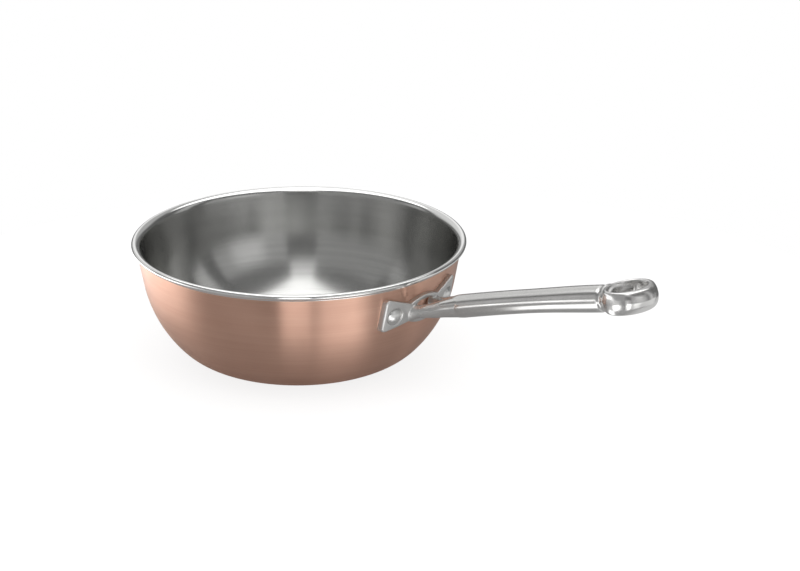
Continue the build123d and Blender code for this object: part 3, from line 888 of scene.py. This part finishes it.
def makeSteel(name, facts):
    # Fine lines along the handle, smudges and hairlines; worn edges are brighter, and corners and rivet
    # recesses darker, partly with dirt and partly with painted shade.
    # Matt is the rougher, unpolished part of a casting.
    material, tree, shader = newMaterial(name, {"Metallic": 1.0})
    place = addNode(tree, "TexCoord").outputs["Object"]
    lean = (0.0, math.radians(steelMarks.lean), 0.0)
    turned = addNode(tree, "Mapping", {"Vector": place, "Rotation": lean})
    along = addNode(tree, "Mapping", {"Vector": turned.outputs[0], "Scale": facts.stretch})
    lines = facts.lines
    grain = addNode(tree, "Group", {
        "Vector": along.outputs[0], "Lines": lines, "Bands": lines * steelMarks.bands,
        "Micro": lines * steelMarks.micro}, node_tree=brushGrain).outputs
    marks = addNode(tree, "Group", {
        "Vector": place, "Smudge": steelMarks.smudge, "Scratch": steelMarks.scratch},
        node_tree=handlingMarks).outputs
    tone = times(tree, grain["Lines"], steelMarks.lineTone,
                 times(tree, marks["Smudge"], steelMarks.smudgeTone))
    colour = mixColour(tree, tone, facts.light, facts.deep)
    if facts.wearAndShadeStrength:
        edge = addNode(tree, "Attribute", attribute_name="edge").outputs["Fac"]
        wornAndShaded = addNode(tree, "Group", {
            "Vector": place, "Edge": edge, "Break": steelMarks.wearAndShadeScale}, node_tree=edgeWearAndShade).outputs
        # Corners and rivet recesses take the dark tint, partly as dirt and partly as painted shade; outer
        # edges rub bright.
        for label, tint in (("DirtAndShade", steelMarks.dirtAndShade), ("Wear", steelMarks.rub)):
            colour = mixColour(tree, times(tree, wornAndShaded[label], facts.wearAndShadeStrength), colour, tint)
    scratch = marks["Scratch"]
    dull = times(tree, scratch, steelMarks.scratchDull, tone, clamp=True)
    rough = mapRange(tree, dull, 0.0, 1.0, *facts.roughness, smooth=False)
    if facts.mattRoughness:
        matt = addNode(tree, "Attribute", attribute_name="matt").outputs["Fac"]
        rough = times(tree, matt, facts.mattRoughness, rough)
    feed(tree, shader, {"Base Color": colour, "Roughness": rough})
    relief = times(tree, grain["Micro"], steelMarks.microRelief, grain["Lines"])
    relief = times(tree, scratch, steelMarks.scratchRelief, relief)
    tiltSurface(tree, shader, facts.bump, relief)
    return material


steels = {name: makeSteel(name, facts) for name, facts in steelFinishes.items()}

dressing = (  # piece, material, CAD node that it stands for, material slot
    (copperSkin, makeCopper(copperFinish), "copper_shell", "copper"),
    (steelLining, makeLining(liningFinish), "steel_liner", "liner_steel"),
    (forkCasting, steels["handleSteel"], "handle_bracket", "bracket_steel"),
    (gripTube, steels["handleSteel"], "handle_grip", "grip_steel"),
    (hangingEye, steels["eyeSteel"], "hanging_ring", "ring_steel"),
    (rivetNear, steels["rivetSteel"], "rivet_right", "rivet_steel"),
    (rivetFar, steels["rivetSteel"], "rivet_left", "rivet_steel"),
)
for piece, material, node, slotName in dressing:
    piece.data.materials.clear()
    piece.data.materials.append(material)
    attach(piece, "root")
    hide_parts(node)
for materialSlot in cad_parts["aluminium_core"].material_slots:
    materialSlot.material = steels["coreAluminium"]
print("materials set")


# Camera, world, floor and lamps

cameraFacts = Facts(
    azimuth=39.8, elevation=20.25, distance=1.6375, lens=119.7,
    aim=(0.0539, 0.0323, 0.0474), sensor=36.0, nearest=0.05,
)


def placeAround(thing, aim, azimuth, elevation, distance):
    # Stands a thing at a distance from its aim, at degrees round from the front and above the floor,
    # and turns it to face the aim.
    a, e = math.radians(azimuth), math.radians(elevation)
    outwards = Vector((math.sin(a) * math.cos(e), -math.cos(a) * math.cos(e), math.sin(e)))
    thing.location = Vector(aim) + outwards * distance
    thing.rotation_euler = (math.pi / 2 - e, 0.0, a)
    bpy.context.scene.collection.objects.link(thing)


def placeCamera(facts):
    # The camera that was fitted to the photo.
    data = bpy.data.cameras.new("camera")
    data.lens, data.sensor_width, data.clip_start = facts.lens, facts.sensor, facts.nearest
    camera = bpy.data.objects.new("camera", data)
    placeAround(camera, facts.aim, facts.azimuth, facts.elevation, facts.distance)
    bpy.context.scene.camera = camera


placeCamera(cameraFacts)

# A softbox is a centre bearing from the camera, half width and edge; lowest and highest rise and edge,
# all in degrees; and its level. The lanes are patches of painted light that the floor glows with in gloss
# only, in the same form, with the fall of a ray from the wall to the floor as the rise. The top box is
# flat:
# its front edge, where the front has faded out, its half width and taper, and its level. PlainLevel lights
# every dull surface, and dim is the room between the softboxes, seen only in gloss.
studio = Facts(
    plainLevel=0.8,
    dim=0.16,
    boxes=(
        (-0.5, 8.0, 1.5, -24.0, -3.0, 3.0, 2.9),
        (32.0, 8.0, 14.0, -24.0, -3.0, 3.0, 1.3),
        (86.0, 26.0, 20.0, -26.0, -3.0, 3.0, 0.7),
        (-104.0, 14.0, 32.0, -24.0, -2.0, 4.0, 2.3),
        (-48.0, 14.0, 16.0, -26.0, -6.0, 3.0, 0.5),
        (-150.0, 28.0, 10.0, 14.0, 45.0, 8.0, 0.6),
        (165.0, 20.0, 14.0, 18.0, 40.0, 8.0, 0.3),
        (-1.0, 11.5, 1.5, 39.0, 54.0, 5.0, 0.75),
        (44.0, 30.0, 3.0, 2.0, 36.0, 4.0, 0.32),
        (45.0, 6.0, 14.0, 14.0, 28.0, 8.0, 0.35),
        (-46.0, 33.0, 3.0, 2.0, 40.0, 6.0, 0.22),
        (-93.0, 7.0, 8.0, 10.0, 26.0, 8.0, 0.4),
        (96.0, 5.0, 5.0, 0.0, 40.0, 8.0, 0.5),
    ),
    lanes=(
        (-0.5, 8.0, 1.5, -24.0, -3.0, 3.0, 2.9),
        (25.0, 6.0, 16.0, -52.0, -31.0, 6.0, 1.9),
        (86.0, 30.0, 20.0, -26.0, -3.0, 3.0, 0.3),
        (-104.0, 14.0, 36.0, -30.0, -2.0, 4.0, 2.6),
    ),
    top=(0.66, 0.71, 0.56, 0.62, 1.8),
    topSideEdge=0.04,
    topBack=(-0.9, -0.6),
    horizon=0.02,
)


def addBoxes(tree, room, bearing, rise, boxes):
    # Each softbox is a patch with soft edges in bearing and height above the horizon, in degrees.
    for centre, half, edge, lowest, highest, soft, level in boxes:
        aside = addMath(tree, "WRAP", addMath(tree, "SUBTRACT", bearing, centre), 180.0, -180.0)
        sideways = mapRange(tree, addMath(tree, "ABSOLUTE", aside), half + edge, half)
        upwards = times(tree, mapRange(tree, rise, lowest - soft, lowest),
                        mapRange(tree, rise, highest + soft, highest))
        room = times(tree, times(tree, sideways, upwards), level, room)
    return room


def addBearing(tree, vector):
    # The bearing from the camera round the upright axis, in degrees, the turned vector's axes and its
    # length seen from above.
    spinBack = (0.0, 0.0, -math.radians(cameraFacts.azimuth))
    turned = addNode(tree, "Mapping", {"Vector": vector, "Rotation": spinBack})
    axes, away = addAxes(tree, turned.outputs["Vector"])
    turn = addMath(tree, "ARCTAN2", axes["X"], times(tree, axes["Y"], -1.0))
    return times(tree, turn, 180 / math.pi), axes, away


def addRayKinds(tree):
    # One where the camera sees a thing, directly or through glass, and one where gloss mirrors it.
    path = addNode(tree, "LightPath").outputs
    seen = addMath(tree, "MAXIMUM", path["Is Camera Ray"], path["Is Transmission Ray"])
    return seen, path["Is Glossy Ray"]


def buildWorld(facts):
    # Gloss sees the room with its softboxes; dull surfaces get one plain level; the camera sees white.
    # The top box is a trapezium on a flat ceiling: ahead and aside are places on it, over its height.
    world = bpy.data.worlds.new("studio")
    world.use_nodes = True
    world.cycles.sampling_method = "NONE"
    bpy.context.scene.world = world
    tree = world.node_tree
    tree.nodes.clear()
    bearing, axes, _ = addBearing(tree, addNode(tree, "TexCoord").outputs["Generated"])
    rise = times(tree, addMath(tree, "ARCSINE", axes["Z"]), 180 / math.pi)
    front, soft, halfWidth, taper, level = facts.top
    above = addMath(tree, "MAXIMUM", axes["Z"], facts.horizon)
    ahead = addMath(tree, "DIVIDE", times(tree, axes["Y"], -1.0), above)
    aside = addMath(tree, "DIVIDE", addMath(tree, "ABSOLUTE", axes["X"]), above)
    edge = times(tree, ahead, taper, aside)
    sides = mapRange(tree, edge, halfWidth + facts.topSideEdge, halfWidth)
    ceiling = times(tree, mapRange(tree, ahead, soft, front),
                    times(tree, sides, mapRange(tree, ahead, *facts.topBack)))
    room = times(tree, ceiling, level, facts.dim)
    room = addBoxes(tree, room, bearing, rise, facts.boxes)
    seen, glossy = addRayKinds(tree)
    plain = facts.plainLevel
    levels = times(tree, glossy, addMath(tree, "SUBTRACT", room, plain), plain)
    whole = times(tree, seen, addMath(tree, "SUBTRACT", 1.0, levels), levels)
    light = addNode(tree, "Background", {"Color": (1, 1, 1, 1), "Strength": whole})
    addNode(tree, "OutputWorld", {"Surface": light.outputs[0]})


buildWorld(studio)
bpy.context.scene.view_settings.view_transform = "Standard"


lampFacts = Facts(
    azimuth=30, elevation=78, distance=1.5, aim=(0.05, 0.0, 0.04), side=1.1, power=6,
)


def addTopLamp(facts):
    # A soft square lamp overhead, which casts the shadow. Gloss sees the top box in its stead.
    data = bpy.data.lights.new("softboxTop", "AREA")
    data.shape = "SQUARE"
    data.size = facts.side
    data.energy = facts.power
    lamp = bpy.data.objects.new("softboxTop", data)
    lamp.visible_glossy = False
    placeAround(lamp, facts.aim, facts.azimuth, facts.elevation, facts.distance)


addTopLamp(lampFacts)

floorFacts = Facts(
    radius=0.36, middle=0.05, corners=128, under=0.0002, colour=0.23, lift=0.84,
    glossGlowBase=0.16, wall=0.1, eyeLevel=0.06, nearest=0.005,
)


def makeFloor(facts):
    # A pale floor: its own colour takes the light and the shadow, and a lift makes it white to the
    # camera. In gloss it glows with the lanes, painted light for the metal to mirror: the fall at a place
    # is the angle down to it from a point at eye level on the wall.
    level = facts.colour
    material, tree, shader = newMaterial("paleFloor", {
        "Base Color": (level, level, level, 1.0), "Roughness": 1.0, "Specular IOR Level": 0.0,
        "Emission Color": (1.0, 1.0, 1.0, 1.0)})
    seen, glossy = addRayKinds(tree)
    bearing, _, away = addBearing(tree, addNode(tree, "TexCoord").outputs["Object"])
    away = addMath(tree, "MAXIMUM", addMath(tree, "SUBTRACT", away, facts.wall), facts.nearest)
    fall = addMath(tree, "ARCTANGENT", addMath(tree, "DIVIDE", -facts.eyeLevel, away))
    rise = times(tree, fall, 180 / math.pi)
    # Gloss alone sees this glow: painted light on the floor, which the metal mirrors.
    glossGlow = addBoxes(tree, facts.glossGlowBase, bearing, rise, studio.lanes)
    glow = times(tree, seen, facts.lift, times(tree, glossy, glossGlow))
    feed(tree, shader, {"Emission Strength": glow})
    turn = fullTurn(facts.corners)
    across, along = facts.radius * np.sin(turn), facts.middle + facts.radius * np.cos(turn)
    corners = np.stack([along, across, np.full(len(turn), cadBox[0][2] - facts.under)], 1)
    mesh = bpy.data.meshes.new("floor")
    mesh.from_pydata(corners.tolist(), [], [list(range(len(turn)))])
    mesh.materials.append(material)
    floor = bpy.data.objects.new("floor", mesh)
    bpy.context.scene.collection.objects.link(floor)


makeFloor(floorFacts)
print("studio made")
